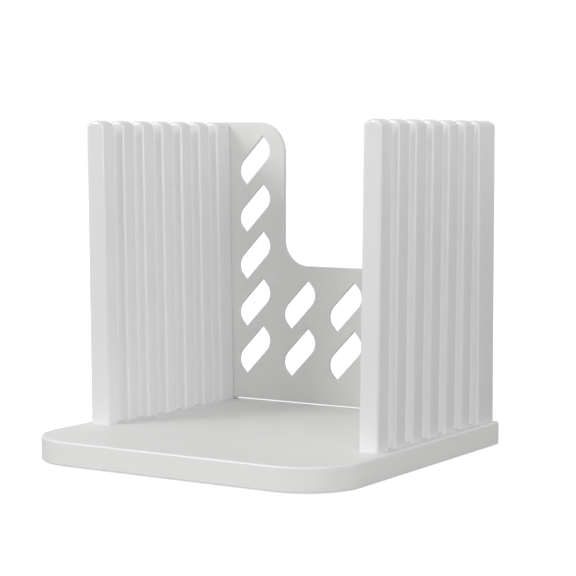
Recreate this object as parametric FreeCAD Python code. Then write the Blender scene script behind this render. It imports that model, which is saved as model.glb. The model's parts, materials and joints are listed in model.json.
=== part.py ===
import FreeCAD, Part
import math
import os

# Bread slicer guide: a hollow base plate, two upright slotted combs that plug into it,
# and a notched back panel that drops between the end posts of the combs.
#
# Millimetres.  +X is to the right, +Y to the back, +Z up.
# The origin is on the table, under the middle of the base plate.

# ---- Base plate ----
base_width = 158.4
base_depth = 153.0
base_height = 10.5            # lower edge of the skirt to the deck that the loaf lies on
base_front_radius = 26.0      # the two front corners, seen from above
base_rear_radius = 1.6        # the two rear corners
base_top_edge_radius = 1.1
base_low_edge_radius = 0.6
deck_thickness = 2.4
skirt_thickness = 2.4
rim_thickness = 1.2           # skirt beside the bottom cover, where it is rebated
stiffener_thickness = 1.4
stiffener_lift = 2.0          # gap between the bottom cover and the stiffeners
stiffener_x = (-48.0, -16.0, 16.0, 48.0)
stiffener_y = (-46.0, -14.0, 18.0, 50.0)

# ---- Bottom cover, its screws and the feet ----
cover_thickness = 2.2
cover_play = 0.2
boss_radius = 3.4
boss_side_inset = 36.8        # boss axis to the side of the base
boss_end_inset = 14.5         # boss axis to the front or rear edge
screw_core_radius = 1.25
screw_play = 0.05
screw_length = 7.4
screw_head_radius = 2.8
screw_head_height = 1.5
screw_head_sink = 0.1
screw_hole_radius = 1.6
screw_cross_width = 0.7
screw_cross_reach = 1.7
screw_cross_depth = 0.8
pilot_end_play = 0.3

foot_stand = 0.8              # how far the feet stand out below the skirt
foot_radius = 7.0
foot_recess = 1.2
foot_play = 0.1
foot_edge_radius = 0.4
foot_side_inset = 20.8
foot_end_inset = 18.5
stem_radius = 2.0
barb_radius = 2.7
barb_tip_radius = 1.4
barb_height = 1.6

# ---- Combs ----
comb_height = 137.6           # deck to the top of the tines
tine_count = 6                # slim tines in front of each end post
slot_pitch = 15.0             # thickness of one slice
tine_width = 8.0              # along the loaf, at the tine's inner side
tine_flare = 0.7              # how much further each flank of a slot reaches at the outer side
tine_thickness = 9.8          # across the loaf, at the deck
inner_splay = 2.1             # how far the inner sides lean outwards at their tops
outer_splay = 1.3             # the same for the tines' outer sides
crown_rise = 2.0              # height of the rounded top over the tine's sides
crown_side_radius = 1.6       # between the rounded top and the sides
tine_edge_radius = 1.0        # all round the front and rear faces
end_post_depth = 15.8
end_post_outset = 1.0         # end post's outer face beyond the tines, at the deck
end_post_side_inset = 3.2     # end post's outer face to the side of the base
end_post_draft = 0.3          # how far that face leans inwards at its top
rail_thickness = 6.0
rail_depth = 7.0
rail_drop = 0.1               # top of the rail below the deck, in the slots
rail_end_inset = 1.5
rail_play = 0.1
socket_wall = 1.6

# ---- Back panel ----
panel_thickness = 1.8
panel_play = 0.2
panel_edge_play = 0.3
rear_lip_thickness = 2.7
groove_wall = 4.2             # end post left outside the groove
panel_lift = 1.0              # gap between the deck and the panel's lower edge
tab_width = 4.6
tab_depth = 5.0
tab_floor = 1.2
panel_top_play = 0.0          # panel's top edge level with the tines
notch_width = 70.8
notch_height = 67.87          # deck to the bottom of the notch
notch_top_radius = 15.0
notch_low_radius = 12.7

# ---- Leaf-shaped holes of the panel ----
leaf_columns = 5
leaf_column_pitch = 26.0
leaf_row_pitch = 23.35
leaf_pattern_shift = 0.85     # how far the whole pattern sits to the left of the middle
leaf_first_height = 25.43     # deck to the middle of the lowest leaves
leaf_top_margin = 4.0         # least web left over the uppermost leaves
leaf_half_height = 12.2
leaf_tip_offset = 4.9         # sideways place of the upper tip
leaf_shoulder_offset = 7.15   # where the straight side turns into the round cheek
leaf_shoulder_drop = 0.3
leaf_cheek_offset = 8.95
leaf_cheek_drop = 4.8
leaf_chin_offset = 8.05
leaf_chin_drop = 8.4

# ---- Levels and places that follow from these sizes ----
skirt_bottom = foot_stand
deck_top = skirt_bottom + base_height
deck_under = deck_top - deck_thickness
cover_top = skirt_bottom + cover_thickness
comb_top = deck_top + comb_height
base_rear = base_depth / 2.0
end_post_outer = base_width / 2.0 - end_post_side_inset
tine_outer = end_post_outer - end_post_outset
tine_inner = tine_outer - tine_thickness
end_post_front = base_rear - end_post_depth
comb_front = end_post_front - tine_count * slot_pitch
groove_width = panel_thickness + 2.0 * panel_play
groove_front = base_rear - rear_lip_thickness - groove_width
groove_floor = end_post_outer - groove_wall
panel_front = groove_front + panel_play
panel_half_width = groove_floor - panel_edge_play
tab_inner = panel_half_width - tab_width
tab_bottom = deck_top - tab_depth
rail_inner = (tine_inner + tine_outer - rail_thickness) / 2.0
rail_front = comb_front + rail_end_inset
rail_rear = groove_front - socket_wall - rail_play
reach = 10.0                  # how far a cutting tool stands out of the part
least_corner_radius = 0.5     # of an inner outline of the base
quarter_turn = 90.0           # degrees
facing_share = 0.9            # least Y share of a face's normal that counts as front or rear
tolerance = 1e-6


def box(x0, x1, y0, y1, z0, z1):
    """Box between two corners, given axis by axis."""
    corner = FreeCAD.Vector(min(x0, x1), min(y0, y1), z0)
    return Part.makeBox(abs(x1 - x0), abs(y1 - y0), z1 - z0, corner)


def prism_from_below(edges, z0, z1):
    """Solid over a closed plan outline, from level z0 to level z1."""
    face = Part.Face(Part.Wire(edges))
    face.translate(FreeCAD.Vector(0, 0, z0))
    return face.extrude(FreeCAD.Vector(0, 0, z1 - z0))


def arc_between(center_x, center_y, radius, start_angle, end_angle):
    """Plan arc about a centre, between two angles in degrees, anticlockwise."""
    circle = Part.Circle(FreeCAD.Vector(center_x, center_y, 0), FreeCAD.Vector(0, 0, 1), radius)
    return Part.Arc(circle, math.radians(start_angle), math.radians(end_angle)).toShape()


def base_plan(inset):
    """Outline of the base plate seen from above, moved inwards by inset."""
    half_x = base_width / 2.0 - inset
    half_y = base_depth / 2.0 - inset
    front_radius = max(base_front_radius - inset, least_corner_radius)
    rear_radius = max(base_rear_radius - inset, least_corner_radius)
    corners = ((1, 1, rear_radius), (-1, 1, rear_radius), (-1, -1, front_radius), (1, -1, front_radius))
    arcs = []
    for index, (sign_x, sign_y, radius) in enumerate(corners):
        center_x = sign_x * (half_x - radius)
        center_y = sign_y * (half_y - radius)
        start = index * quarter_turn
        arcs.append(arc_between(center_x, center_y, radius, start, start + quarter_turn))
    edges = []
    for index, arc in enumerate(arcs):
        following = arcs[(index + 1) % len(arcs)]
        edges.append(arc)
        side = Part.LineSegment(arc.lastVertex().Point, following.firstVertex().Point)
        edges.append(side.toShape())
    return edges


def base_block(inset, z0, z1):
    """Block with the outline of the base plate."""
    return prism_from_below(base_plan(inset), z0, z1)


def edges_at_level(shape, level):
    """Edges that lie flat at one level."""
    found = []
    for edge in shape.Edges:
        bounds = edge.BoundBox
        if abs(bounds.ZMin - level) < tolerance and abs(bounds.ZMax - level) < tolerance:
            found.append(edge)
    return found


def boss_places():
    """Axes of the six screw bosses."""
    x = base_width / 2.0 - boss_side_inset
    y = base_depth / 2.0 - boss_end_inset
    return [(sign * x, row) for row in (-y, 0.0, y) for sign in (-1, 1)]


def foot_places():
    """Node name and axis of each foot."""
    x = base_width / 2.0 - foot_side_inset
    y = base_depth / 2.0 - foot_end_inset
    return {
        "foot_front_left": (-x, -y),
        "foot_front_right": (x, -y),
        "foot_rear_left": (-x, y),
        "foot_rear_right": (x, y),
    }


def rail_socket(side, margin, z0, z1):
    """Space of one comb's foot rail in the base, grown by margin."""
    x0 = side * (rail_inner - margin)
    x1 = side * (rail_inner + rail_thickness + margin)
    return box(x0, x1, rail_front - margin, rail_rear + margin, z0, z1)


def tab_socket(side, margin, z0, z1):
    """Space of one panel tab in the base, grown by margin."""
    x0 = side * (tab_inner - margin)
    x1 = side * (panel_half_width + margin)
    y1 = panel_front + panel_thickness
    return box(x0, x1, panel_front - margin, y1 + margin, z0, z1)


def build_base_deck():
    """Moulded top shell of the base: deck, skirt, sockets, bosses and stiffeners."""
    shell = base_block(0.0, skirt_bottom, deck_top)
    shell = shell.makeFillet(base_top_edge_radius, edges_at_level(shell, deck_top))
    shell = shell.makeFillet(base_low_edge_radius, edges_at_level(shell, skirt_bottom))
    inside = base_block(skirt_thickness, cover_top, deck_under)
    shell = shell.cut(base_block(rim_thickness, skirt_bottom - reach, cover_top))
    shell = shell.cut(inside)

    fittings = []
    for place in stiffener_x:
        half = stiffener_thickness / 2.0
        fittings.append(box(place - half, place + half, -base_depth, base_depth,
                            cover_top + stiffener_lift, deck_under))
    for place in stiffener_y:
        half = stiffener_thickness / 2.0
        fittings.append(box(-base_width, base_width, place - half, place + half,
                            cover_top + stiffener_lift, deck_under))
    for x, y in boss_places():
        fittings.append(Part.makeCylinder(boss_radius, deck_under - cover_top,
                                          FreeCAD.Vector(x, y, cover_top)))
    for side in (-1, 1):
        fittings.append(rail_socket(side, rail_play + socket_wall, cover_top, deck_under))
        fittings.append(tab_socket(side, panel_play + socket_wall, tab_bottom - tab_floor, deck_under))
    fittings = [fitting.common(inside) for fitting in fittings]
    shell = shell.fuse(fittings)

    for side in (-1, 1):
        shell = shell.cut(rail_socket(side, rail_play, skirt_bottom, deck_top + reach))
        shell = shell.cut(tab_socket(side, panel_play, tab_bottom, deck_top + reach))
    pilot_top = skirt_bottom + screw_head_sink + screw_length + pilot_end_play
    for x, y in boss_places():
        pilot = Part.makeCylinder(screw_core_radius + screw_play, pilot_top,
                                  FreeCAD.Vector(x, y, 0))
        shell = shell.cut(pilot)
    return shell.removeSplitter()


def screw_body(x, y):
    """Countersunk screw without its cross."""
    head_bottom = skirt_bottom + screw_head_sink
    head = Part.makeCone(screw_head_radius, screw_core_radius, screw_head_height,
                         FreeCAD.Vector(x, y, head_bottom))
    shank = Part.makeCylinder(screw_core_radius, screw_length, FreeCAD.Vector(x, y, head_bottom))
    return head.fuse(shank)


def build_bottom_cover():
    """Flat plate that closes the base from below."""
    cover = base_block(rim_thickness + cover_play, skirt_bottom, cover_top)
    for x, y in boss_places():
        hole = Part.makeCylinder(screw_hole_radius, base_height, FreeCAD.Vector(x, y, 0))
        sink = Part.makeCone(screw_head_radius + screw_play, screw_core_radius + screw_play,
                             screw_head_height, FreeCAD.Vector(x, y, skirt_bottom + screw_head_sink))
        mouth = Part.makeCylinder(screw_head_radius + screw_play, foot_stand + screw_head_sink,
                                  FreeCAD.Vector(x, y, 0))
        cover = cover.cut(hole).cut(sink).cut(mouth)
    for x, y in foot_places().values():
        recess = Part.makeCylinder(foot_radius + foot_play, foot_stand + foot_recess,
                                   FreeCAD.Vector(x, y, 0))
        stem_hole = Part.makeCylinder(stem_radius + foot_play, base_height, FreeCAD.Vector(x, y, 0))
        cover = cover.cut(recess).cut(stem_hole)
    return cover


def build_cover_screws():
    """The six self-tapping screws of the bottom cover."""
    screws = []
    head_bottom = skirt_bottom + screw_head_sink
    for x, y in boss_places():
        screw = screw_body(x, y)
        half = screw_cross_width / 2.0
        top = head_bottom + screw_cross_depth
        screw = screw.cut(box(x - screw_cross_reach, x + screw_cross_reach, y - half, y + half,
                              0.0, top))
        screw = screw.cut(box(x - half, x + half, y - screw_cross_reach, y + screw_cross_reach,
                              0.0, top))
        screws.append(screw)
    return Part.makeCompound(screws)


def build_foot(x, y):
    """Round rubber foot with a barbed stem that is pushed through the cover."""
    pad_top = foot_stand + foot_recess
    pad = Part.makeCylinder(foot_radius, pad_top, FreeCAD.Vector(x, y, 0))
    pad = pad.makeFillet(foot_edge_radius, edges_at_level(pad, 0.0))
    barb_base = cover_top + foot_play
    stem = Part.makeCylinder(stem_radius, barb_base - pad_top, FreeCAD.Vector(x, y, pad_top))
    barb = Part.makeCone(barb_radius, barb_tip_radius, barb_height, FreeCAD.Vector(x, y, barb_base))
    return pad.fuse([stem, barb]).removeSplitter()


def flared_plan(inner, outer, y0, y1, front_flare, rear_flare):
    """Four-sided plan between y0 and y1 at the inner side, wider by the flares at the outer side."""
    low_x = inner - reach
    high_x = outer + reach
    corners = []
    for x, y, flare in ((low_x, y0, -front_flare), (high_x, y0, -front_flare),
                        (high_x, y1, rear_flare), (low_x, y1, rear_flare)):
        share = (x - inner) / (outer - inner)
        corners.append(FreeCAD.Vector(x, y + flare * share, 0))
    return Part.makePolygon(corners + corners[:1]).Edges


def upright(outer, outer_lean, y0, y1, rear_flare):
    """Upright bar with a rounded top, from the tines' inner side to the given outer side."""
    shoulder = comb_top - crown_rise
    low_inner = FreeCAD.Vector(tine_inner, y0 - reach, deck_top)
    low_outer = FreeCAD.Vector(outer, y0 - reach, deck_top)
    high_inner = FreeCAD.Vector(tine_inner + inner_splay, y0 - reach, shoulder)
    high_outer = FreeCAD.Vector(outer + outer_lean, y0 - reach, shoulder)
    peak = FreeCAD.Vector((high_inner.x + high_outer.x) / 2.0, y0 - reach, comb_top)
    outline = Part.Wire([
        Part.LineSegment(low_inner, low_outer).toShape(),
        Part.LineSegment(low_outer, high_outer).toShape(),
        Part.Arc(high_outer, peak, high_inner).toShape(),
        Part.LineSegment(high_inner, low_inner).toShape(),
    ])
    bar = Part.Face(outline).extrude(FreeCAD.Vector(0, y1 - y0 + 2.0 * reach, 0))
    bar = bar.makeFillet(crown_side_radius, edges_at_level(bar, shoulder))
    plan = flared_plan(tine_inner, outer, y0, y1, tine_flare, rear_flare)
    bar = bar.common(prism_from_below(plan, deck_top - reach, comb_top + reach))
    end_edges = []
    for face in bar.Faces:
        if abs(face.normalAt(0, 0).y) > facing_share:
            end_edges.extend(edge for edge in face.Edges if edge.BoundBox.ZMax > deck_top + tolerance)
    return bar.makeFillet(tine_edge_radius, end_edges)


def build_comb():
    """Right-hand comb: slim tines, the end post with its groove, and the foot rail."""
    pieces = []
    for index in range(tine_count):
        y0 = comb_front + index * slot_pitch
        pieces.append(upright(tine_outer, outer_splay, y0, y0 + tine_width, tine_flare))
    post = upright(end_post_outer, -end_post_draft, end_post_front, base_rear, 0.0)
    groove = box(0.0, groove_floor, groove_front, groove_front + groove_width,
                 deck_top - reach, comb_top + reach)
    pieces.append(post.cut(groove))
    rail_top = deck_top - rail_drop
    rail = box(rail_inner, rail_inner + rail_thickness, rail_front, rail_rear,
               deck_top - rail_depth, rail_top)
    for index in range(tine_count + 1):
        y0 = comb_front + index * slot_pitch + tine_edge_radius
        y1 = y0 + tine_width - 2.0 * tine_edge_radius
        if index == tine_count:
            y1 = rail_rear
        y0 = max(y0, rail_front)
        pieces.append(box(rail_inner, rail_inner + rail_thickness, y0, y1, rail_top, deck_top))
    return rail.fuse(pieces).removeSplitter()


def leaf_hole(center_x, center_z):
    """Cutting tool for one leaf: two straight sides, two round cheeks and two sharp tips."""
    y = panel_front - reach

    def place(sign, offset, rise):
        return FreeCAD.Vector(center_x + sign * offset, y, center_z + sign * rise)

    edges = []
    for sign in (1, -1):
        tip = place(sign, leaf_tip_offset, leaf_half_height)
        shoulder = place(sign, -leaf_shoulder_offset, -leaf_shoulder_drop)
        cheek = place(sign, -leaf_cheek_offset, -leaf_cheek_drop)
        chin = place(sign, -leaf_chin_offset, -leaf_chin_drop)
        other_tip = place(-sign, leaf_tip_offset, leaf_half_height)
        edges.append(Part.LineSegment(tip, shoulder).toShape())
        edges.append(Part.Arc(shoulder, cheek, chin).toShape())
        edges.append(Part.LineSegment(chin, other_tip).toShape())
    return Part.Face(Part.Wire(edges)).extrude(FreeCAD.Vector(0, panel_thickness + 2.0 * reach, 0))


def leaf_rows(web_height):
    """How many leaves stand in a column of the panel that ends web_height above the deck."""
    room = web_height - leaf_first_height - leaf_half_height - leaf_top_margin
    return max(int(room / leaf_row_pitch) + 1, 0)


def leaf_centers():
    """Middle of every leaf: tall columns beside the notch, short ones under it."""
    centers = []
    for column in range(leaf_columns):
        x = (column - (leaf_columns - 1) / 2.0) * leaf_column_pitch - leaf_pattern_shift
        beside_notch = abs(x) - leaf_cheek_offset > notch_width / 2.0
        web_height = comb_height - panel_top_play if beside_notch else notch_height
        for row in range(leaf_rows(web_height)):
            centers.append((x, deck_top + leaf_first_height + row * leaf_row_pitch))
    return centers


def edges_through_panel(panel, level):
    """Edges of the notch that run through the panel's thickness at one level."""
    found = []
    for edge in panel.Edges:
        bounds = edge.BoundBox
        straight_through = bounds.XLength < tolerance and bounds.ZLength < tolerance
        beside = abs(abs(bounds.XMin) - notch_width / 2.0) < tolerance
        if straight_through and beside and abs(bounds.ZMin - level) < tolerance:
            found.append(edge)
    return found


def build_back_panel():
    """Upright panel with the notch for the hand, leaf-shaped holes and two foot tabs."""
    y0 = panel_front
    y1 = panel_front + panel_thickness
    low = deck_top + panel_lift
    high = comb_top - panel_top_play
    panel = box(-panel_half_width, panel_half_width, y0, y1, low, high)
    notch_low = deck_top + notch_height
    half = notch_width / 2.0
    panel = panel.cut(box(-half, half, y0 - reach, y1 + reach, notch_low, high + reach))
    panel = panel.makeFillet(notch_top_radius, edges_through_panel(panel, high))
    panel = panel.makeFillet(notch_low_radius, edges_through_panel(panel, notch_low))
    for center_x, center_z in leaf_centers():
        panel = panel.cut(leaf_hole(center_x, center_z))
    for side in (-1, 1):
        tab = box(side * tab_inner, side * panel_half_width, y0, y1, tab_bottom, low)
        panel = panel.fuse(tab)
    return panel.removeSplitter()


def mirrored(shape):
    """Left-hand twin of a right-hand piece."""
    return shape.mirror(FreeCAD.Vector(0, 0, 0), FreeCAD.Vector(1, 0, 0))


def build_parts():
    """Every piece of the guide by its node name."""
    comb = build_comb()
    parts = {
        "base_deck": build_base_deck(),
        "base_bottom_cover": build_bottom_cover(),
        "cover_screws": build_cover_screws(),
        "left_comb": mirrored(comb),
        "right_comb": comb,
        "back_panel": build_back_panel(),
    }
    for name, (x, y) in foot_places().items():
        parts[name] = build_foot(x, y)
    return parts


def main():
    os.makedirs("parts", exist_ok=True)
    for name, shape in build_parts().items():
        shape.exportStep("parts/" + name + ".step")
        bounds = shape.BoundBox
        print(name, "solids", len(shape.Solids), "volume", round(shape.Volume, 1), "valid", shape.isValid(),
              "z", round(bounds.ZMin, 2), round(bounds.ZMax, 2))


main()
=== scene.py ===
"""Looks of the bread slicer guide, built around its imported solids.

Everything is in metres, in the frame of the solids: +X to the right, +Y to the back panel, +Z up.
"""
import json
import logging
from cmath import phase
from collections.abc import Sequence
from dataclasses import dataclass
from enum import Enum
from math import atan2, cos, pi, radians, sin, sqrt

import bmesh
import bpy
from mathutils import Matrix, Vector

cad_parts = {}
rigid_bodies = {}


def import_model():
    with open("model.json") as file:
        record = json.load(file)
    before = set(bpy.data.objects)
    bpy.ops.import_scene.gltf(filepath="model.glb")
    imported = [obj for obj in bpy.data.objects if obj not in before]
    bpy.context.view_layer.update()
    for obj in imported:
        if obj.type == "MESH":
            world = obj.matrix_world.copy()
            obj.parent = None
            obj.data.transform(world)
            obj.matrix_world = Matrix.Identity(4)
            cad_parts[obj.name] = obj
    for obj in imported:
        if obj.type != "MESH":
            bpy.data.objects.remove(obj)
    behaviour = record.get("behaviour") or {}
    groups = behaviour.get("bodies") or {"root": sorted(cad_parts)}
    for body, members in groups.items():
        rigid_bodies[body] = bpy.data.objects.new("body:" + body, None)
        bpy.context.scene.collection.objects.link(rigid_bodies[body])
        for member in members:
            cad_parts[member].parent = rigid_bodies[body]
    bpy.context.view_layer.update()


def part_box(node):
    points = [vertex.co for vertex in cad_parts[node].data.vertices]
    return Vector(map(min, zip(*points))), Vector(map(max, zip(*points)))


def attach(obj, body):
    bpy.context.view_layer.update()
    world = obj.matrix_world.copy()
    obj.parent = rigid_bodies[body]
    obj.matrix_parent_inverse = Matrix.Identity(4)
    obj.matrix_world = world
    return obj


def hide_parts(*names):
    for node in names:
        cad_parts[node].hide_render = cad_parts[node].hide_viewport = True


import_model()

QUARTER_TURN = radians(90.0)
FULL_TURN = radians(360.0)
# Vertex attribute along rounded edges: it lowers the roughness there and lightens the colour, which is a
# painted highlight.
POLISH_AND_HIGHLIGHT = "polish"
MERGE_DISTANCE = 1e-7
LEAST_MITER = 0.35
SHARP_ANGLE = radians(32.0)
NOISE_RANGE = (0.3, 0.7)
TINT_STOPS = (0.35, 0.65)
log = logging.getLogger("bread_slicer_guide")

Point = tuple[float, float]
Triple = tuple[float, float, float]
Ring = list[Vector]
Inputs = dict[str | int, object]
Socket = bpy.types.NodeSocket
Material = bpy.types.Material
Piece = bpy.types.Object


class Body(Enum):
    """Moving bodies of the guide."""

    BASE = "base"
    LEFT_COMB = "left_comb_body"
    RIGHT_COMB = "right_comb_body"
    BACK_PANEL = "back_panel_body"


class Slot(Enum):
    """Material slots that a piece can take its finish from."""

    BASE = "base_plastic"
    COMB = "comb_plastic"
    PANEL = "panel_plastic"
    COVER = "cover_plastic"
    STEEL = "screw_steel"
    RUBBER = "foot_rubber"


class Side(Enum):
    """Left or right half of the guide, as the sign of X."""

    LEFT = -1
    RIGHT = 1


class Join(Enum):
    """How one closed skin is worked into another."""

    ADD = "UNION"
    CUT = "DIFFERENCE"


# --- Finishes ---


@dataclass
class NodeSheet:
    """Short way to lay out the nodes of one material or of the sky."""

    tree: bpy.types.NodeTree

    def feed(self, node: bpy.types.Node, inputs: Inputs) -> None:
        """Join inputs of a node to outputs, or set their values.

        Args:
            node: The node.
            inputs: Output or plain value for each input, by the input's name or number.
        """
        for name, value in inputs.items():
            if isinstance(value, Socket):
                self.tree.links.new(value, node.inputs[name])
            else:
                node.inputs[name].default_value = value

    def node(self, kind: str, inputs: Inputs | None = None, **values: object) -> bpy.types.Node:
        """Add a node.

        Args:
            kind: Blender's name of the node type.
            inputs: What its inputs are fed.
            **values: Attributes of the node.

        Returns:
            The node.
        """
        node = self.tree.nodes.new(kind)
        for name, value in values.items():
            setattr(node, name, value)
        self.feed(node, inputs or {})
        return node

    def noise(self, scale: float, detail: float, stretch: Triple = (1.0, 1.0, 1.0)) -> Socket:
        """Noise laid out in the object's own metres.

        Args:
            scale: Waves per metre.
            detail: Octaves.
            stretch: Factor on each axis before the noise is read.

        Returns:
            Output that stays about within NOISE_RANGE.
        """
        place = self.node("ShaderNodeTexCoord").outputs["Object"]
        spot = self.node("ShaderNodeMapping", {"Vector": place, "Scale": stretch}).outputs["Vector"]
        inputs = {"Vector": spot, "Scale": scale, "Detail": detail}
        return self.node("ShaderNodeTexNoise", inputs).outputs["Fac"]

    def spread(self, source: Socket, low: float, high: float) -> Socket:
        """Stretch the middle of a noise to a range of values.

        Args:
            source: Noise output.
            low: Value at the low end of the noise.
            high: Value at its high end.

        Returns:
            Output between low and high.
        """
        limits = {"From Min": NOISE_RANGE[0], "From Max": NOISE_RANGE[1], "To Min": low, "To Max": high}
        return self.node("ShaderNodeMapRange", {"Value": source, **limits}).outputs["Result"]

    def tint(self, source: Socket, colors: tuple[Triple, Triple]) -> Socket:
        """Run a colour from one tint to another with a noise.

        Args:
            source: Noise output.
            colors: Linear colours where the noise is low and where it is high.

        Returns:
            Colour output.
        """
        ramp = self.node("ShaderNodeValToRGB", {"Fac": source})
        for stop, position, color in zip(ramp.color_ramp.elements, TINT_STOPS, colors):
            stop.position = position
            stop.color = (*color, 1.0)
        return ramp.outputs["Color"]

    def where_polished(self, source: Socket, polished_and_highlighted: float | tuple[float, ...], kind: str) -> Socket:
        """Change a value or a colour along the rounded edges: a lower roughness for their polish, and a
        lighter colour that is a painted highlight.

        Args:
            source: Output that holds on the rest of the surface.
            polished_and_highlighted: Value or linear colour of a fully polished edge; a lighter colour there
                is a painted highlight.
            kind: Data type of the mix, FLOAT or RGBA.

        Returns:
            The mixed output.
        """
        share = self.node("ShaderNodeAttribute", attribute_name=POLISH_AND_HIGHLIGHT).outputs["Fac"]
        mix = self.node("ShaderNodeMix", data_type=kind)
        used = [index for index, socket in enumerate(mix.inputs) if socket.enabled]
        self.feed(mix, dict(zip(used, (share, source, polished_and_highlighted))))
        return next(socket for socket in mix.outputs if socket.enabled)

    def bump(self, height: Socket, distance: float, **under: Socket) -> Socket:
        """Relief of a surface.

        Args:
            height: Output that holds the height, from 0 to 1.
            distance: Height in metres where the output is 1.
            **under: Relief that this one is laid over, as Normal.

        Returns:
            Normal output.
        """
        inputs = {"Height": height, "Strength": 1.0, "Distance": distance, **under}
        return self.node("ShaderNodeBump", inputs).outputs["Normal"]


def blank_material(name: str) -> tuple[Material, NodeSheet, bpy.types.Node]:
    """Make a material with one principled shader.

    Args:
        name: Name of the material.

    Returns:
        The material, the sheet of its nodes and the shader.
    """
    material = bpy.data.materials.new(name)
    material.use_nodes = True
    return material, NodeSheet(material.node_tree), material.node_tree.nodes["Principled BSDF"]


@dataclass(frozen=True)
class MouldedPlastic:
    """Satin white plastic with a fine spark-eroded grain, faint flow marks, and polished edges in a lighter
    colour that is a painted highlight.
    """

    name: str
    colors: tuple[Triple, Triple]
    roughness: tuple[float, float]
    glow_depth: float = 0.0012
    glow_share: float = 0.08
    gloss: float = 0.5
    glow_radii: Triple = (1.0, 0.9, 0.8)
    refraction: float = 1.49
    grain_scale: float = 2600.0
    grain_detail: float = 3.0
    grain_height: float = 4e-6
    flow_scale: float = 45.0
    flow_detail: float = 2.0
    flow_stretch: Triple = (1.0, 1.0, 0.3)
    flow_height: float = 3e-5
    # Lighter colour of the rounded edges: a painted highlight.
    edge_color: tuple[float, ...] = (0.99, 0.99, 0.99, 1.0)
    edge_roughness: float = 0.14

    def build(self) -> Material:
        """Make the material.

        Returns:
            The material.
        """
        material, sheet, shader = blank_material(self.name)
        flow = sheet.noise(self.flow_scale, self.flow_detail, self.flow_stretch)
        grain = sheet.noise(self.grain_scale, self.grain_detail)
        tint = sheet.tint(flow, self.colors)
        rough = sheet.spread(grain, *self.roughness)
        sheet.feed(shader, {
            # Rounded edges take the lighter edge colour, a painted highlight.
            "Base Color": sheet.where_polished(tint, self.edge_color, "RGBA"),
            "Roughness": sheet.where_polished(rough, self.edge_roughness, "FLOAT"),
            "Normal": sheet.bump(grain, self.grain_height, Normal=sheet.bump(flow, self.flow_height)),
            "IOR": self.refraction,
            "Specular IOR Level": self.gloss,
            "Subsurface Weight": self.glow_share,
            "Subsurface Radius": self.glow_radii,
            "Subsurface Scale": self.glow_depth,
        })
        return material


@dataclass(frozen=True)
class GrainedFinish:
    """Finish whose colour runs with a wide cloud, and whose fine grain gives roughness and relief."""

    name: str
    colors: tuple[Triple, Triple]
    cloud_scale: float
    cloud_detail: float
    grain_scale: float
    grain_height: float
    roughness: tuple[float, float]
    grain_detail: float = 2.0
    grain_stretch: Triple = (1.0, 1.0, 1.0)
    metallic: float = 0.0

    def build(self) -> Material:
        """Make the material.

        Returns:
            The material.
        """
        material, sheet, shader = blank_material(self.name)
        cloud = sheet.noise(self.cloud_scale, self.cloud_detail)
        grain = sheet.noise(self.grain_scale, self.grain_detail, self.grain_stretch)
        sheet.feed(shader, {
            "Base Color": sheet.tint(cloud, self.colors),
            "Roughness": sheet.spread(grain, *self.roughness),
            "Normal": sheet.bump(grain, self.grain_height),
            "Metallic": self.metallic,
        })
        return material


BASE_PLASTIC = MouldedPlastic("base_plastic", ((0.930, 0.930, 0.915), (0.915, 0.915, 0.900)), (0.40, 0.48))
COMB_PLASTIC = MouldedPlastic(
    "comb_plastic", ((0.895, 0.895, 0.900), (0.880, 0.880, 0.890)), (0.20, 0.28),
    glow_depth=0.002, glow_share=0.2, gloss=1.0,
)
PANEL_PLASTIC = MouldedPlastic("panel_plastic", ((0.875, 0.875, 0.863), (0.860, 0.860, 0.847)), (0.34, 0.42))
MATT_COVER = GrainedFinish(
    "cover_plastic", ((0.66, 0.66, 0.65), (0.62, 0.62, 0.61)), 60.0, 3.0, 1100.0, 1.6e-5, (0.55, 0.72)
)
ZINC_STEEL = GrainedFinish(
    "zinc_screw", ((0.58, 0.58, 0.60), (0.50, 0.51, 0.55)), 900.0, 3.0, 5200.0, 4e-6, (0.22, 0.42),
    grain_stretch=(1.0, 1.0, 0.2), metallic=1.0,
)
GREY_RUBBER = GrainedFinish(
    "grey_rubber", ((0.155, 0.155, 0.155), (0.120, 0.120, 0.122)), 420.0, 4.0, 3000.0, 1.2e-5, (0.68, 0.85)
)


@dataclass(frozen=True)
class StudioFloor:
    """White floor that keeps a faint shadow of the guide."""

    name: str = "studio_floor"
    color: tuple[float, ...] = (0.55, 0.55, 0.55, 1.0)
    shine: tuple[float, ...] = (0.87, 0.87, 0.87, 1.0)

    def build(self) -> Material:
        """Make the material.

        Returns:
            The material.
        """
        material, sheet, _ = blank_material(self.name)
        sheet.tree.nodes.clear()
        seen = sheet.node("ShaderNodeLightPath").outputs["Is Camera Ray"]
        matt = sheet.node("ShaderNodeBsdfDiffuse", {"Color": self.color}).outputs["BSDF"]
        glow = sheet.node("ShaderNodeEmission", {"Color": self.shine, "Strength": seen}).outputs["Emission"]
        both = sheet.node("ShaderNodeAddShader", {0: matt, 1: glow}).outputs["Shader"]
        sheet.node("ShaderNodeOutputMaterial", {"Surface": both})
        return material


# --- Mesh tools ---


@dataclass(frozen=True)
class Extent:
    """Lowest and highest corner of one node of the frame."""

    low: Vector
    high: Vector

    @classmethod
    def of_node(cls, node: str) -> "Extent":
        """Read the corners of a node."""
        low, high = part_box(node)
        return cls(Vector(low), Vector(high))


def placed(name: str, data: bpy.types.ID) -> Piece:
    """Make an object of a mesh, lamp or camera and link it to the scene.

    Args:
        name: Name of the object.
        data: Its mesh, lamp or camera.

    Returns:
        The object.
    """
    made = bpy.data.objects.new(name, data)
    bpy.context.scene.collection.objects.link(made)
    return made


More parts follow.
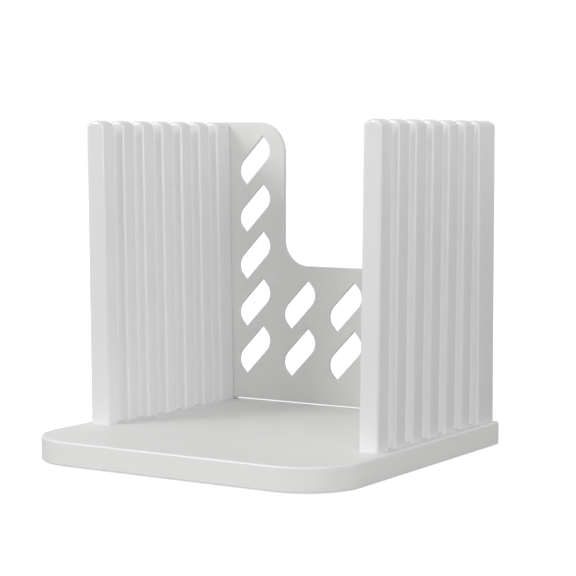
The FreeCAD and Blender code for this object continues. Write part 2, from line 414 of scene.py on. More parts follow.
def object_from(mesh: bmesh.types.BMesh, name: str) -> Piece:
    """Turn a closed bmesh into an object.

    Args:
        mesh: The bmesh, which is freed.
        name: Name of the object and its mesh.

    Returns:
        The object, linked to the scene.
    """
    bmesh.ops.remove_doubles(mesh, verts=mesh.verts, dist=MERGE_DISTANCE)
    bmesh.ops.recalc_face_normals(mesh, faces=mesh.faces)
    data = bpy.data.meshes.new(name)
    mesh.to_mesh(data)
    mesh.free()
    return placed(name, data)


def bridge(mesh: bmesh.types.BMesh, rows: Sequence[Sequence[bmesh.types.BMVert]]) -> None:
    """Join closed rows of vertices with strips of faces.

    Args:
        mesh: The bmesh of the vertices.
        rows: Rows with equally many vertices.
    """
    count = len(rows[0])
    for below, above in zip(rows, rows[1:]):
        for index in range(count):
            after = (index + 1) % count
            mesh.faces.new((below[index], below[after], above[after], above[index]))


def skin(rings: Sequence[Ring], name: str, polish: Sequence[Sequence[float]] = ()) -> Piece:
    """Close a skin over a stack of rings, with a flat cap at each end.

    Args:
        rings: Rings with equally many points.
        name: Name of the object.
        polish: How far each point of each ring is polished and given a painted highlight, from 0 to 1.

    Returns:
        The closed object.
    """
    mesh = bmesh.new()
    layer = mesh.verts.layers.float.new(POLISH_AND_HIGHLIGHT)
    rows = [[mesh.verts.new(point) for point in ring] for ring in rings]
    for row, shares in zip(rows, polish):
        for vertex, share in zip(row, shares):
            vertex[layer] = share
    bridge(mesh, rows)
    mesh.faces.new(rows[0][::-1])
    mesh.faces.new(rows[-1])
    return object_from(mesh, name)


def rectangle(first: Sequence[float], last: Sequence[float], level: float, grow: float = 0.0) -> Ring:
    """Level rectangle.

    Args:
        first: One corner, whose Y is the lower one.
        last: The opposite corner.
        level: Height.
        grow: How far each side is moved outwards.

    Returns:
        Its corners, anticlockwise from above.
    """
    x0, x1 = sorted((first[0], last[0]))
    plan = ((x0, first[1], -1, -1), (x1, first[1], 1, -1), (x1, last[1], 1, 1), (x0, last[1], -1, 1))
    return [Vector((x + right * grow, y + back * grow, level)) for x, y, right, back in plan]


def block(low: Sequence[float], high: Sequence[float], name: str) -> Piece:
    """Plain block between two corners, used to cut or fill.

    Args:
        low: One corner.
        high: The opposite corner.
        name: Name of the object.

    Returns:
        The block.
    """
    return skin([rectangle(low, high, level) for level in (low[2], high[2])], name)


def circle(center: Point, level: float, radii: Sequence[float]) -> Ring:
    """Level ring about an upright axis.

    Args:
        center: Place of the axis.
        level: Height of the ring.
        radii: Distance of each point from the axis.

    Returns:
        The points, anticlockwise from above.
    """
    points = []
    for index, radius in enumerate(radii):
        angle = FULL_TURN * index / len(radii)
        points.append(Vector((center[0] + radius * cos(angle), center[1] + radius * sin(angle), level)))
    return points


def turned(profile: Sequence[Point], center: Point, name: str, steps: int = 48) -> Piece:
    """Turn a profile about an upright axis.

    Args:
        profile: Pairs of radius and level, from the bottom up.
        center: Place of the axis.
        name: Name of the object.
        steps: Points in each ring.

    Returns:
        The closed object.
    """
    return skin([circle(center, level, [radius] * steps) for radius, level in profile], name)


def arc(center: Sequence[float], radius: float, start: float, turn: float, steps: int) -> list[Point]:
    """Points along an arc.

    Args:
        center: Centre of the arc.
        radius: Its radius.
        start: Angle where it starts.
        turn: Angle that it turns through, positive for anticlockwise.
        steps: Number of chords.

    Returns:
        The points, both ends included.
    """
    angles = [start + turn * step / steps for step in range(steps + 1)]
    return [(center[0] + radius * cos(angle), center[1] + radius * sin(angle)) for angle in angles]


def rounding(radius: float, steps: int) -> list[Point]:
    """Walk round a convex edge, from the flat face to the side.

    Args:
        radius: Radius of the edge.
        steps: Number of strips.

    Returns:
        Pairs of inset from the side and distance below the face.
    """
    return [(radius - rise, radius - run) for run, rise in arc((0.0, 0.0), radius, 0.0, QUARTER_TURN, steps)]


def polished_and_highlighted(count: int) -> list[float]:
    """Share of polish and painted highlight over the rings of a round edge: none at its two ends, full in
    its middle.

    Args:
        count: Number of rings.

    Returns:
        Share of polish and painted highlight per ring.
    """
    return [sin(pi * index / (count - 1)) for index in range(count)]


def work_in(target: Piece, tools: Sequence[Piece], join: Join) -> None:
    """Add closed skins to a target or cut them out of it, and delete the tools.

    Args:
        target: Object whose mesh is changed.
        tools: Closed objects.
        join: Whether they are added or cut.
    """
    for tool in tools:
        step = target.modifiers.new(join.name, "BOOLEAN")
        step.operation = join.value
        step.solver = "EXACT"
        step.object = tool
    graph = bpy.context.evaluated_depsgraph_get()
    result = bpy.data.meshes.new_from_object(target.evaluated_get(graph))
    target.modifiers.clear()
    spent = [target.data, *tools, *(tool.data for tool in tools)]
    target.data = result
    bpy.data.batch_remove(spent)


def dress(piece: Piece, material: Material, body: Body, node: str) -> None:
    """Shade a finished piece, give it its material and body, and hide the node that it stands for.

    Args:
        piece: Object to dress.
        material: Its finish.
        body: Body that it moves with.
        node: Node that it replaces.
    """
    piece.data.polygons.foreach_set("use_smooth", [True] * len(piece.data.polygons))
    piece.data.set_sharp_from_angle(angle=SHARP_ANGLE)
    piece.modifiers.new("weighted_normals", "WEIGHTED_NORMAL").keep_sharp = True
    piece.data.materials.clear()
    piece.data.materials.append(material)
    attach(piece, body.value)
    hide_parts(node)
    log.info("%s rides on %s for node %s, %d faces", piece.name, body.value, node, len(piece.data.polygons))


# --- Base ---


@dataclass(frozen=True)
class PlateOutline:
    """Plan of the base: a rectangle with two wide corners in front and two tight ones behind."""

    base: Extent
    front_radius: float = 0.026
    rear_radius: float = 0.0016
    least_radius: float = 0.0003
    corner_steps: int = 18

    def ring(self, inset: float, level: float) -> Ring:
        """Outline moved inwards.

        Args:
            inset: How far the outline is moved inwards.
            level: Height of the ring.

        Returns:
            Its points, anticlockwise from above.
        """
        points = []
        for quarter, (sign_x, sign_y) in enumerate(((1, 1), (-1, 1), (-1, -1), (1, -1))):
            full_radius = self.rear_radius if sign_y > 0 else self.front_radius
            radius = max(full_radius - inset, self.least_radius)
            x = sign_x * (self.base.high.x - inset - radius)
            y = sign_y * (self.base.high.y - inset - radius)
            points += arc((x, y), radius, QUARTER_TURN * quarter, QUARTER_TURN, self.corner_steps)
        return [Vector((x, y, level)) for x, y in points]


@dataclass
class Sockets:
    """Slots of the deck that take the rails of the combs and the tabs of the panel."""

    rail_inner: float = 0.0671
    rail_thickness: float = 0.006
    rail_front: float = -0.0278
    rail_rear: float = 0.0699
    tab_inner: float = 0.0669
    tab_outer: float = 0.0715
    panel_front: float = 0.0718
    panel_thickness: float = 0.0018
    rail_play: float = 0.0001
    tab_play: float = 0.0002
    wall: float = 0.0016

    def plans(self, side: Side) -> list[tuple[Point, Point]]:
        """Plan corners of the rail slot and the tab slot.

        Args:
            side: Half of the guide.

        Returns:
            Front inner and rear outer corner of each slot.
        """
        rail_outer = self.rail_inner + self.rail_thickness
        panel_rear = self.panel_front + self.panel_thickness
        spans = (
            (self.rail_inner, self.rail_front, rail_outer, self.rail_rear, self.rail_play),
            (self.tab_inner, self.panel_front, self.tab_outer, panel_rear, self.tab_play),
        )
        sign = side.value
        return [
            ((sign * (x0 - play), y0 - play), (sign * (x1 + play), y1 + play))
            for x0, y0, x1, y1, play in spans
        ]


@dataclass
class BasePlate:
    """Moulded top shell of the base: deck, skirt, stiffeners, screw bosses and sockets."""

    extent: Extent
    sockets: Sockets
    finish: Material
    top_edge: float = 0.0008
    low_edge: float = 0.0006
    deck_thickness: float = 0.0024
    skirt: float = 0.0024
    rim: float = 0.0012
    cover_thickness: float = 0.0022
    stiffener: float = 0.0014
    stiffener_lift: float = 0.002
    weld: float = 0.0005
    stiffener_x: tuple[float, ...] = (-0.048, -0.016, 0.016, 0.048)
    stiffener_y: tuple[float, ...] = (-0.046, -0.014, 0.018, 0.050)
    boss_radius: float = 0.0034
    pilot_radius: float = 0.0013
    pilot_top: float = 0.0086
    mouth_round: float = 0.00008
    tab_socket_floor: float = 0.0051

    @property
    def cover_top(self) -> float:
        """Level of the bottom cover's upper face."""
        return self.extent.low.z + self.cover_thickness

    @property
    def deck_under(self) -> float:
        """Level of the deck's lower face."""
        return self.extent.high.z - self.deck_thickness

    def shell(self) -> Piece:
        """Full block of the base with its rounded edges.

        Returns:
            The block.
        """
        outline = PlateOutline(self.extent)
        low = self.extent.low.z
        high = self.extent.high.z
        rings = [outline.ring(inset, low + rise) for inset, rise in rounding(self.low_edge, steps=4)]
        top = [outline.ring(inset, high - drop) for inset, drop in rounding(self.top_edge, steps=7)]
        # The top edge is polished and given a painted highlight; the low edge is not.
        amounts = [0.0] * len(rings) + polished_and_highlighted(len(top))
        return skin(rings + top[::-1], "base_deck_shell", [[amount] * len(top[0]) for amount in amounts])

    def fittings(self) -> list[Piece]:
        """Walls and bosses inside the shell.

        Returns:
            The closed pieces to add.
        """
        low = self.cover_top + self.stiffener_lift
        high = self.deck_under + self.weld
        end_x = self.extent.high.x - self.skirt / 2.0
        end_y = self.extent.high.y - self.skirt / 2.0
        half = self.stiffener / 2.0
        plans = [((x - half, -end_y), (x + half, end_y)) for x in self.stiffener_x]
        plans += [((-end_x, y - half), (end_x, y + half)) for y in self.stiffener_y]
        made = [block((*first, low), (*last, high), "stiffener") for first, last in plans]
        boss = ((self.boss_radius, self.cover_top), (self.boss_radius, high))
        made += [turned(boss, center, "boss") for center in screw_places(self.extent)]
        floors = (self.cover_top, self.tab_socket_floor)
        for side in Side:
            for (first, last), floor in zip(self.sockets.plans(side), floors):
                rings = [rectangle(first, last, level, self.sockets.wall) for level in (floor, high)]
                made.append(skin(rings, "socket_wall"))
        return made

    def mouths(self) -> list[Piece]:
        """Mouths and shafts of the sockets, flared at the deck.

        Returns:
            The cutting tools.
        """
        made = []
        top = self.extent.high.z
        flare = [(inset, top - drop) for inset, drop in rounding(self.mouth_round, steps=3)[::-1]]
        flare.append((self.mouth_round, top + self.skirt))
        floors = (self.extent.low.z, self.tab_socket_floor + self.rim)
        for side in Side:
            for (first, last), floor in zip(self.sockets.plans(side), floors):
                rings = [rectangle(first, last, level, grow) for grow, level in [(0.0, floor)] + flare]
                made.append(skin(rings, "socket_mouth"))
        return made

    def build(self) -> None:
        """Make and dress the shell."""
        piece = self.shell()
        outline = PlateOutline(self.extent)
        below = self.extent.low.z - self.skirt
        hollow = skin([outline.ring(self.skirt, level) for level in (below, self.deck_under)], "hollow")
        rebate = skin([outline.ring(self.rim, level) for level in (below, self.cover_top)], "rebate")
        work_in(piece, [hollow, rebate], Join.CUT)
        work_in(piece, self.fittings(), Join.ADD)
        pilot = ((self.pilot_radius, below), (self.pilot_radius, self.pilot_top))
        pilots = [turned(pilot, center, "pilot") for center in screw_places(self.extent)]
        work_in(piece, self.mouths() + pilots, Join.CUT)
        dress(piece, self.finish, Body.BASE, "base_deck")


def screw_places(extent: Extent) -> list[Point]:
    """Axes of the six screws of the bottom cover.

    Args:
        extent: Corners of the base.

    Returns:
        Axes from front to back, left before right.
    """
    side_inset = 0.0368
    end_inset = 0.0145
    x = extent.high.x - side_inset
    y = extent.high.y - end_inset
    return [(sign * x, row) for row in (-y, 0.0, y) for sign in (-1, 1)]


# --- Combs ---


@dataclass(frozen=True)
class CrownedBar:
    """Upright bar with a crowned top, leaning sides and rounded ends."""

    inner: float
    outer: float
    inner_splay: float
    outer_splay: float
    foot: float
    top: float
    crown_rise: float = 0.0021
    corner_radius: float = 0.0016
    least_corner: float = 0.00025
    corner_steps: int = 5
    crown_steps: int = 10
    end_round: float = 0.0013
    crown_end_round: float = 0.0016
    end_steps: int = 6

    def crown(self, drop: float) -> tuple[Vector, float]:
        """Arc of the crown.

        Args:
            drop: How far it is lowered.

        Returns:
            Its centre and radius.
        """
        high_inner = self.inner + self.inner_splay
        high_outer = self.outer + self.outer_splay
        half_chord = (high_outer - high_inner) / 2.0
        radius = (half_chord**2 + self.crown_rise**2) / (2.0 * self.crown_rise)
        return Vector(((high_inner + high_outer) / 2.0, self.top - drop - radius)), radius

    def flank(self, low_x: float, splay: float, inward: int, inset: float, drop: float) -> list[Point]:
        """One side and its round corner, from the foot up.

        Args:
            low_x: Side at the foot.
            splay: How far the side leans to +X at the crown.
            inward: Sign of X towards the middle of the bar.
            inset: How far the side is moved inwards.
            drop: How far the crown is lowered.

        Returns:
            The points of the flank.
        """
        center, radius = self.crown(drop)
        corner = max(self.corner_radius - inset, self.least_corner)
        start = Vector((low_x, self.foot))
        along = (Vector((low_x + splay, self.top - self.crown_rise)) - start).normalized()
        across = Vector((along.y, -along.x)) * inward
        base = start + across * (inset + corner)
        half_b = (base - center).dot(along)
        reach = radius - corner
        rise = -half_b + sqrt(half_b**2 - (base - center).length_squared + reach**2)
        middle = base + along * rise
        turn = (-across).angle_signed(middle - center)
        foot = (start.x + across.x * inset, self.foot)
        return [foot] + arc(middle, corner, atan2(-across.y, -across.x), -turn, self.corner_steps)

    def outline(self, inset: float, drop: float) -> list[Point]:
        """Closed outline, up the outer side, over the crown and down the inner side.

        Args:
            inset: How far the sides are moved inwards.
            drop: How far the crown is lowered.

        Returns:
            The points in X and Z.
        """
        outer = self.flank(self.outer, self.outer_splay, -1, inset, drop)
        inner = self.flank(self.inner, self.inner_splay, 1, inset, drop)
        center, radius = self.crown(drop)
        start, end = (atan2(z - center.y, x - center.x) for x, z in (outer[-1], inner[-1]))
        over = arc(center, radius, start, end - start, self.crown_steps)
        return outer + over[1:-1] + inner[::-1]

    def shares(self) -> list[float]:
        """How far each point of the outline belongs to the crown, from 0 to 1."""
        flank = [0.0] + [step / self.corner_steps for step in range(self.corner_steps + 1)]
        return flank + [1.0] * (self.crown_steps - 1) + flank[::-1]

    def rings(self, face_y: float, inwards: float, flare: float) -> list[Ring]:
        """Rings from one end face to the full section.

        Args:
            face_y: Place of the end face at the inner side.
            inwards: Sign of Y from the end face into the bar.
            flare: How much further out the end face lies at the outer side.

        Returns:
            The rings.
        """
        found = []
        for inset, depth in rounding(1.0, self.end_steps):
            outline = self.outline(self.end_round * inset, self.crown_end_round * inset)
            ring = []
            for (x, z), share in zip(outline, self.shares()):
                radius = self.end_round + (self.crown_end_round - self.end_round) * share
                out = flare * (x - self.inner) / (self.outer - self.inner)
                ring.append(Vector((x, face_y + inwards * (radius * depth - out), z)))
            found.append(ring)
        return found


@dataclass
class SlottedComb:
    """One comb: slim tines, the end post with the groove of the panel, and the foot rail."""

    side: Side
    base: Extent
    sockets: Sockets
    finish: Material
    tine_count: int = 6
    slot_pitch: float = 0.015
    tine_width: float = 0.008
    tine_flare: float = 0.0007
    tine_inner: float = 0.0652
    tine_outer: float = 0.0750
    inner_splay: float = 0.0021
    outer_splay: float = 0.0013
    end_post_depth: float = 0.0158
    end_post_outer: float = 0.0760
    end_post_draft: float = 0.0003
    groove_front: float = 0.0716
    groove_width: float = 0.0022
    groove_floor: float = 0.0713
    groove_round: float = 0.0005
    overcut: float = 0.01
    rail_depth: float = 0.007
    rail_drop: float = 0.00001
    neck_rise: float = 0.0006
    neck_inset: float = 0.0002

    @property
    def node(self) -> str:
        """Name of the comb's node."""
        return f"{self.side.name.lower()}_comb"

    @property
    def deck_top(self) -> float:
        """Level of the deck."""
        return self.base.high.z

    @property
    def comb_top(self) -> float:
        """Level of the comb's highest point."""
        return Extent.of_node(self.node).high.z

    def bar(self, outer: float, lean: float, y0: float, y1: float, rear_flare: float) -> Piece:
        """One upright bar of the comb on the right-hand side.

        Args:
            outer: Place of the outer side at the deck.
            lean: How far the outer side leans outwards at its top.
            y0: Front face at the inner side.
            y1: Rear face at the inner side.
            rear_flare: How much further back the rear face lies at the outer side.

        Returns:
            The closed bar.
        """
        section = CrownedBar(self.tine_inner, outer, self.inner_splay, lean, self.deck_top, self.comb_top)
        front = section.rings(y0, 1.0, self.tine_flare)
        rear = section.rings(y1, -1.0, rear_flare)
        # The rounded ends, except over the crown, are polished and given a painted highlight.
        amounts = polished_and_highlighted(len(front)) + polished_and_highlighted(len(rear))
        polish = [[amount * (1.0 - share) for share in section.shares()] for amount in amounts]
        return skin(front + rear[::-1], "bar", polish)

    def groove(self) -> Piece:
        """Groove of the panel, flared where it opens towards the loaf.

        Returns:
            The cutting tool.
        """
        rear = self.groove_front + self.groove_width
        rings = []
        for level in (self.deck_top - self.overcut, self.comb_top + self.overcut):
            lean = self.inner_splay * (level - self.deck_top) / (self.comb_top - self.deck_top)
            mouth = self.tine_inner + lean
            near = [(mouth - self.overcut, self.groove_front - self.groove_round)]
            for inset, drop in rounding(self.groove_round, steps=5):
                near.append((mouth + drop, self.groove_front - inset))
            far = [(x, rear + (self.groove_front - y)) for x, y in near[::-1]]
            plan = near + [(self.groove_floor, self.groove_front), (self.groove_floor, rear)] + far
            rings.append([Vector((x, y, level)) for x, y in plan])
        return skin(rings, "groove")

    def build(self) -> None:
        """Make and dress the comb."""
        rail = self.sockets
        x0 = rail.rail_inner
        x1 = rail.rail_inner + rail.rail_thickness
        low = (x0, rail.rail_front, self.deck_top - self.rail_depth)
        piece = block(low, (x1, rail.rail_rear, self.deck_top - self.rail_drop), self.node)
        rear = self.base.high.y
        post_front = rear - self.end_post_depth
        first = post_front - self.tine_count * self.slot_pitch
        bars = []
        necks = []
        for index in range(self.tine_count):
            y0 = first + index * self.slot_pitch
            y1 = y0 + self.tine_width
            bars.append(self.bar(self.tine_outer, self.outer_splay, y0, y1, self.tine_flare))
            necks.append((max(y0 + self.neck_inset, rail.rail_front), y1 - self.neck_inset))
        necks.append((post_front + self.neck_inset, rail.rail_rear))
        post = self.bar(self.end_post_outer, -self.end_post_draft, post_front, rear, 0.0)
        work_in(post, [self.groove()], Join.CUT)
        low_z = self.deck_top - self.rail_drop * 2.0
        high_z = self.deck_top + self.neck_rise
        work_in(piece, [block((x0, y0, low_z), (x1, y1, high_z), "neck") for y0, y1 in necks], Join.ADD)
        work_in(piece, bars + [post], Join.ADD)
        piece.name = f"{self.node}_moulding"
        if self.side is Side.LEFT:
            piece.data.transform(Matrix.Scale(-1.0, 4, Vector((1.0, 0.0, 0.0))))
            piece.data.flip_normals()
        dress(piece, self.finish, Body[f"{self.side.name}_COMB"], self.node)


# --- Back panel ---


def arc_through(marks: Sequence[Point], steps: int) -> list[Point]:
    """Points along the arc through three marks.

    Args:
        marks: Start, a point in between and end of the arc.
        steps: Number of chords.

    Returns:
        The points, both ends included.
    """
    a, b, c = (complex(*mark) for mark in marks)
    ratio = (c - a) / (b - a)
    center = a + (b - a) * (ratio - abs(ratio)**2) / (2j * ratio.imag)
    turn = phase((c - center) / (a - center))
    return arc((center.real, center.imag), abs(a - center), phase(a - center), turn, steps)


def inset_loop(loop: Sequence[Point], inset: float) -> list[Point]:
    """Move a closed loop to its left by a small distance, with mitred corners.

    Args:
        loop: Points of the loop. The solid lies on its left.
        inset: Distance.

    Returns:
        The moved points.
    """
    moved = []
    marks = [Vector(point) for point in loop]
    for last, here, following in zip(marks[-1:] + marks, marks, marks[1:] + marks[:1]):
        before = (here - last).normalized()
        after = (following - here).normalized()
        normal = (before + after).orthogonal().normalized()
        miter = max(normal.dot(before.orthogonal()), LEAST_MITER)
        moved.append(tuple(here + normal * (inset / miter)))
    return moved


@dataclass(frozen=True)
class LeafHole:
    """Slanted leaf: two straight sides, two round cheeks and two sharp tips."""

    half_height: float = 0.0122
    tip_offset: float = 0.0049
    shoulder: Point = (0.00715, 0.0003)
    cheek: Point = (0.00895, 0.0048)
    chin: Point = (0.00805, 0.0084)
    cheek_steps: int = 10

    def loop(self, center: Point) -> list[Point]:
        """Outline of one leaf, clockwise.

        Args:
            center: Middle of the leaf.

        Returns:
            The points, in X and Z.
        """
        points = []
        for sign in (1, -1):
            points.append((center[0] + sign * self.tip_offset, center[1] + sign * self.half_height))
            sides = (self.shoulder, self.cheek, self.chin)
            marks = [(center[0] - sign * x, center[1] - sign * z) for x, z in sides]
            points += arc_through(marks, self.cheek_steps)
        return points[::-1]


@dataclass
class BackPanel:
    """Thin upright panel with the notch for the hand, rows of leaves and two foot tabs."""

    extent: Extent
    deck_top: float
    finish: Material
    lift: float = 0.001
    notch_width: float = 0.0708
    notch_height: float = 0.06787
    notch_top_radius: float = 0.015
    notch_low_radius: float = 0.0127
    notch_steps: int = 14
    tab_width: float = 0.0046
    edge: float = 0.00035
    leaf_columns: int = 5
    column_pitch: float = 0.026
    row_pitch: float = 0.02335
    pattern_shift: float = 0.00085
    first_height: float = 0.02543
    rows_tall: int = 5
    rows_short: int = 2

    def outer_loop(self) -> list[Point]:
        """Outline of the panel with its notch and tabs.

        Returns:
            The points in X and Z, anticlockwise.
        """
        half = self.extent.high.x
        low = self.deck_top + self.lift
        high = self.extent.high.z
        notch = self.notch_width / 2.0
        floor = self.deck_top + self.notch_height
        tab = half - self.tab_width
        top_r = self.notch_top_radius
        low_r = self.notch_low_radius
        right = [(tab, low), (tab, self.extent.low.z), (half, self.extent.low.z), (half, high)]
        right += arc((notch + top_r, high - top_r), top_r, QUARTER_TURN, QUARTER_TURN, self.notch_steps)
        right += arc((notch - low_r, floor + low_r), low_r, 0.0, -QUARTER_TURN, self.notch_steps)
        return right + [(-x, z) for x, z in right[::-1]]

    def leaf_loops(self) -> list[list[Point]]:
        """Outlines of all leaves.

        Returns:
            The loops in X and Z, clockwise.
        """
        leaf = LeafHole()
        loops = []
        for column in range(self.leaf_columns):
            x = (column - (self.leaf_columns - 1) / 2.0) * self.column_pitch - self.pattern_shift
            outermost = column in (0, self.leaf_columns - 1)
            for row in range(self.rows_tall if outermost else self.rows_short):
                loops.append(leaf.loop((x, self.deck_top + self.first_height + row * self.row_pitch)))
        return loops

    def build(self) -> None:
        """Make and dress the panel."""
        front = self.extent.low.y
        rear = self.extent.high.y
        levels = [(inset, front + drop) for inset, drop in rounding(self.edge, steps=4)]
        levels += [(inset, rear - drop) for inset, drop in rounding(self.edge, steps=4)[::-1]]
        mesh = bmesh.new()
        borders: tuple[list, list] = ([], [])
        for loop in [self.outer_loop()] + self.leaf_loops():
            rows = [[mesh.verts.new((x, y, z)) for x, z in inset_loop(loop, inset)] for inset, y in levels]
            bridge(mesh, rows)
            for edges, row in zip(borders, (rows[0], rows[-1])):
                edges.extend(mesh.edges.get((row[index - 1], row[index])) for index in range(len(row)))
        for edges in borders:
            bmesh.ops.triangle_fill(mesh, use_beauty=True, use_dissolve=False, edges=edges)
        piece = object_from(mesh, "notched_back_panel")
        dress(piece, self.finish, Body.BACK_PANEL, "back_panel")


# --- Underside ---


def foot_places(extent: Extent) -> dict[str, Point]:
    """Axes of the four feet.

    Args:
        extent: Corners of the base.

    Returns:
        Axis of each foot by its node name.
    """
    side_inset = 0.0208
    end_inset = 0.0185
    x = extent.high.x - side_inset
    y = extent.high.y - end_inset
    ends = (("front", -y), ("rear", y))
    return {f"foot_{end}_{side.name.lower()}": (side.value * x, row) for end, row in ends for side in Side}


@dataclass
class BottomCover:
    """Flat plate that closes the base from below, with sunk holes for its screws and feet."""

    base: Extent
    extent: Extent
    finish: Material
    gap: float = 0.0014
    edge: float = 0.0003
    hole_radius: float = 0.0016
    head_radius: float = 0.00285
    head_height: float = 0.0015
    head_sink: float = 0.0001
    foot_radius: float = 0.0071
    foot_recess: float = 0.0012
    stem_radius: float = 0.0021
    cone_share: float = 0.8
    cone_steps: int = 40
    step_steps: int = 56

    def holes(self) -> list[Piece]:
        """Countersunk screw holes and stepped foot holes.

        Returns:
            The cutting tools.
        """
        low = self.extent.low.z
        seat = low + self.head_sink
        recess = low + self.foot_recess
        cone = ((self.head_radius, seat), (self.hole_radius, seat + self.head_height * self.cone_share))
        step = ((self.foot_radius, recess), (self.stem_radius, recess))
        made = []
        for places, (wide, narrow), steps in (
            (screw_places(self.base), cone, self.cone_steps),
            (foot_places(self.base).values(), step, self.step_steps),
        ):
            below = (wide[0], low - self.foot_recess)
            above = (narrow[0], self.extent.high.z + self.foot_recess)
            made += [turned((below, wide, narrow, above), center, "cover_hole", steps) for center in places]
        return made

    def build(self) -> None:
        """Make and dress the cover."""
        outline = PlateOutline(self.base)
        low = self.extent.low.z
        rings = [outline.ring(self.gap + inset, low + rise) for inset, rise in rounding(self.edge, steps=3)]
        rings.append(outline.ring(self.gap, self.extent.high.z))
        piece = skin(rings, "bottom_cover_plate")
        work_in(piece, self.holes(), Join.CUT)
        dress(piece, self.finish, Body.BASE, "base_bottom_cover")


@dataclass
class CoverScrews:
    """Self-tapping countersunk screws with a cross recess."""

    base: Extent
    extent: Extent
    finish: Material
    head_radius: float = 0.0028
    head_height: float = 0.0015
    head_rim: float = 0.00015
    core_radius: float = 0.00095
    thread_radius: float = 0.00125
    thread_pitch: float = 0.0011
    thread_steepness: float = 4.0
    tip_length: float = 0.0012
    tip_share: float = 0.25
    turn_steps: int = 28
    rows_per_turn: int = 8
    cross_reach: float = 0.0017
    cross_half: float = 0.00035
    cross_depth: float = 0.0008

    def shank_radius(self, turns: float) -> float:
        """Radius of the threaded shank.

        Args:
            turns: Turns of the thread between its start and this point.

        Returns:
            The radius.
        """
        ridge = max(0.0, 1.0 - abs(turns % 1.0 - 0.5) * self.thread_steepness)
        return self.core_radius + (self.thread_radius - self.core_radius) * ridge

    def rings(self, center: Point) -> list[Ring]:
        """Rings of the head, the threaded shank and the tip.

        Args:
            center: Axis of the screw.

        Returns:
            The rings, from the head up.
        """
        low = self.extent.low.z
        high = self.extent.high.z
        head_top = low + self.head_height
        head = (
            (self.head_radius - self.head_rim, low),
            (self.head_radius, low + self.head_rim),
            (self.core_radius, head_top),
        )
        found = [circle(center, level, [radius] * self.turn_steps) for radius, level in head]
        length = high - head_top
        rows = int(length / self.thread_pitch * self.rows_per_turn)
        for row in range(1, rows + 1):
            level = head_top + length * row / rows
            fade = min(1.0, (high - level) / self.tip_length + self.tip_share)
            turns = (level - head_top) / self.thread_pitch
            parts = [turns - step / self.turn_steps for step in range(self.turn_steps)]
            found.append(circle(center, level, [self.shank_radius(part) * fade for part in parts]))
        return found

    def build(self) -> None:
        """Make and dress the six screws."""
        low = self.extent.low.z
        depth = low + self.cross_depth
        below = low - self.cross_depth
        for number, (x, y) in enumerate(screw_places(self.base), start=1):
            piece = skin(self.rings((x, y)), f"cover_screw_{number}")
            bars = []
            for half_x, half_y in ((self.cross_reach, self.cross_half), (self.cross_half, self.cross_reach)):
                bars.append(block((x - half_x, y - half_y, below), (x + half_x, y + half_y, depth), "cross"))
            work_in(piece, bars, Join.CUT)
            dress(piece, self.finish, Body.BASE, "cover_screws")


@dataclass
class RubberFeet:
    """Round rubber feet with a grip ring and a barbed stem."""

    base: Extent
    finish: Material
    radius: float = 0.007
    edge: float = 0.0004
    ring_outer: float = 0.0052
    ring_inner: float = 0.0036
    ring_depth: float = 0.0004
    stem_radius: float = 0.002
    pad_top: float = 0.002
    pad_chamfer: float = 0.0001
    barb_low: float = 0.0031
    barb_radius: float = 0.0027
    barb_tip: float = 0.0014
    barb_height: float = 0.0016

    def profile(self) -> list[Point]:
        """Profile from the sole up to the tip of the barb.

        Returns:
            Pairs of radius and level.
        """
        sole = [
            (self.ring_inner, 0.0),
            (self.ring_inner + self.ring_depth, self.ring_depth),
            (self.ring_outer - self.ring_depth, self.ring_depth),
            (self.ring_outer, 0.0),
        ]
        rim = [(self.radius - inset, rise) for inset, rise in rounding(self.edge, steps=5)]
        stem = [
            (self.radius, self.pad_top - self.pad_chamfer),
            (self.radius - self.pad_chamfer, self.pad_top),
            (self.stem_radius, self.pad_top),
            (self.stem_radius, self.barb_low),
            (self.barb_radius, self.barb_low),
            (self.barb_tip, self.barb_low + self.barb_height),
        ]
        return sole + rim + stem

    def build(self) -> None:
        """Make and dress the four feet."""
        for node, center in foot_places(self.base).items():
            piece = turned(self.profile(), center, f"rubber_{node}", steps=56)
            dress(piece, self.finish, Body.BASE, node)


# --- Surroundings ---


@dataclass
class Viewpoint:
    """Camera that looks at the guide from the front right, a little above the deck."""

    image_px: float = 576.0
    focal_px: float = 1815.8
    sensor_mm: float = 36.0
    turn_deg: float = 32.347
    tilt_deg: float = 4.623
    place: Triple = (0.43984, -0.67517, 0.13967)
    clip_start: float = 0.01
    clip_end: float = 50.0

    def build(self) -> None:
        """Make the camera and hand it to the scene."""
        data = bpy.data.cameras.new("viewpoint")
        data.sensor_width = self.sensor_mm
        data.lens = self.focal_px / self.image_px * self.sensor_mm
        data.clip_start = self.clip_start
        data.clip_end = self.clip_end
        camera = placed("viewpoint", data)
        camera.location = self.place
        camera.rotation_euler = (QUARTER_TURN - radians(self.tilt_deg), 0.0, radians(self.turn_deg))
        bpy.context.scene.camera = camera


@dataclass(frozen=True)
class SoftBox:
    """Lamp with an even rectangular face that is aimed at the guide.

    Azimuth 0 is in front of the guide and 90 on its right.
    """

    name: str
    azimuth_deg: float
    elevation_deg: float
    width: float
    height: float
    radiance: float
    distance: float = 3.0
    aim: Triple = (0.0, 0.0, 0.06)

    def build(self) -> None:
        """Make the lamp."""
        data = bpy.data.lights.new(self.name, "AREA")
        data.shape = "RECTANGLE"
        data.size = self.width
        data.size_y = self.height
        data.energy = self.radiance * pi * self.width * self.height
        lamp = placed(self.name, data)
        azimuth = radians(self.azimuth_deg)
        elevation = radians(self.elevation_deg)
        spoke = Vector((cos(elevation) * sin(azimuth), -cos(elevation) * cos(azimuth), sin(elevation)))
        lamp.location = Vector(self.aim) + spoke * self.distance
        lamp.rotation_euler = spoke.to_track_quat("Z", "Y").to_euler()
        lamp.visible_camera = False


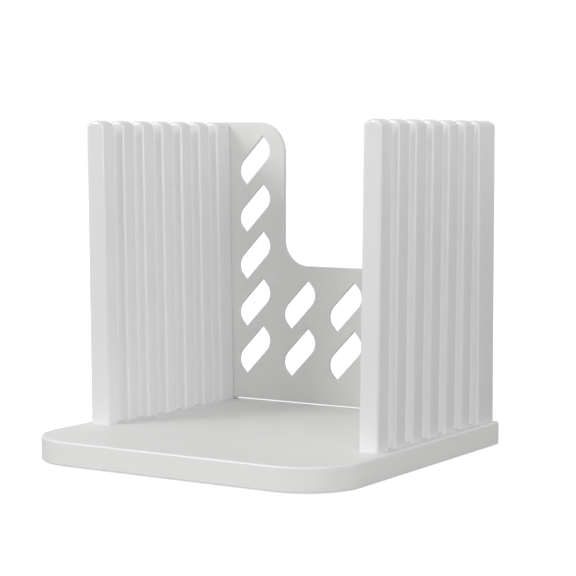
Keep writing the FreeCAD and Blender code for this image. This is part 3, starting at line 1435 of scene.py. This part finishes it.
@dataclass
class Studio:
    """White surroundings: the sky, the floor and the lamps."""

    sky: float = 0.38
    floor_half: float = 4.0
    lamps: tuple[SoftBox, ...] = (
        SoftBox("key_box", -34.0, 28.0, 0.85, 0.85, 9.3),
        SoftBox("left_box", -56.0, 14.0, 1.00, 1.00, 2.3),
        SoftBox("high_box", -60.0, 60.0, 1.30, 1.30, 1.8),
        SoftBox("side_box", 52.0, 10.0, 1.50, 0.90, 5.6),
        SoftBox("rear_box", 100.0, 20.0, 1.00, 1.00, 1.0),
    )

    def build(self) -> None:
        """Make the sky, the floor and the lamps."""
        bpy.context.scene.view_settings.view_transform = "Standard"
        self.build_sky()
        self.build_floor()
        for lamp in self.lamps:
            lamp.build()

    def build_sky(self) -> None:
        """Plain sky that is white where it is seen or mirrored."""
        world = bpy.data.worlds.new("studio_sky")
        world.use_nodes = True
        bpy.context.scene.world = world
        sheet = NodeSheet(world.node_tree)
        sheet.tree.nodes.clear()
        seen = sheet.node("ShaderNodeLightPath").outputs
        share = seen["Is Camera Ray"]
        for ray in ("Is Glossy Ray", "Is Transmission Ray"):
            share = sheet.node("ShaderNodeMath", {0: share, 1: seen[ray]}, operation="MAXIMUM").outputs[0]
        lights = []
        for strength in (self.sky, 1.0):
            light = sheet.node("ShaderNodeBackground", {"Color": (1.0, 1.0, 1.0, 1.0), "Strength": strength})
            lights.append(light.outputs["Background"])
        mix = sheet.node("ShaderNodeMixShader", {"Fac": share, 1: lights[0], 2: lights[1]})
        sheet.node("ShaderNodeOutputWorld", {"Surface": mix.outputs["Shader"]})

    def build_floor(self) -> None:
        """Make the floor."""
        mesh = bmesh.new()
        corners = rectangle((0.0, 0.0), (0.0, 0.0), 0.0, self.floor_half)
        mesh.faces.new([mesh.verts.new(corner) for corner in corners])
        floor = object_from(mesh, "studio_floor")
        floor.data.materials.append(StudioFloor().build())


def main() -> None:
    """Build the surroundings and every piece of the guide."""
    logging.basicConfig(level=logging.INFO, format="%(name)s: %(message)s")
    Viewpoint().build()
    Studio().build()

    base = Extent.of_node("base_deck")
    sockets = Sockets()
    BasePlate(base, sockets, BASE_PLASTIC.build()).build()
    BottomCover(base, Extent.of_node("base_bottom_cover"), MATT_COVER.build()).build()
    CoverScrews(base, Extent.of_node("cover_screws"), ZINC_STEEL.build()).build()
    RubberFeet(base, GREY_RUBBER.build()).build()
    comb_plastic = COMB_PLASTIC.build()
    for side in Side:
        SlottedComb(side, base, sockets, comb_plastic).build()
    BackPanel(Extent.of_node("back_panel"), base.high.z, PANEL_PLASTIC.build()).build()


if __name__ == "__main__":
    main()
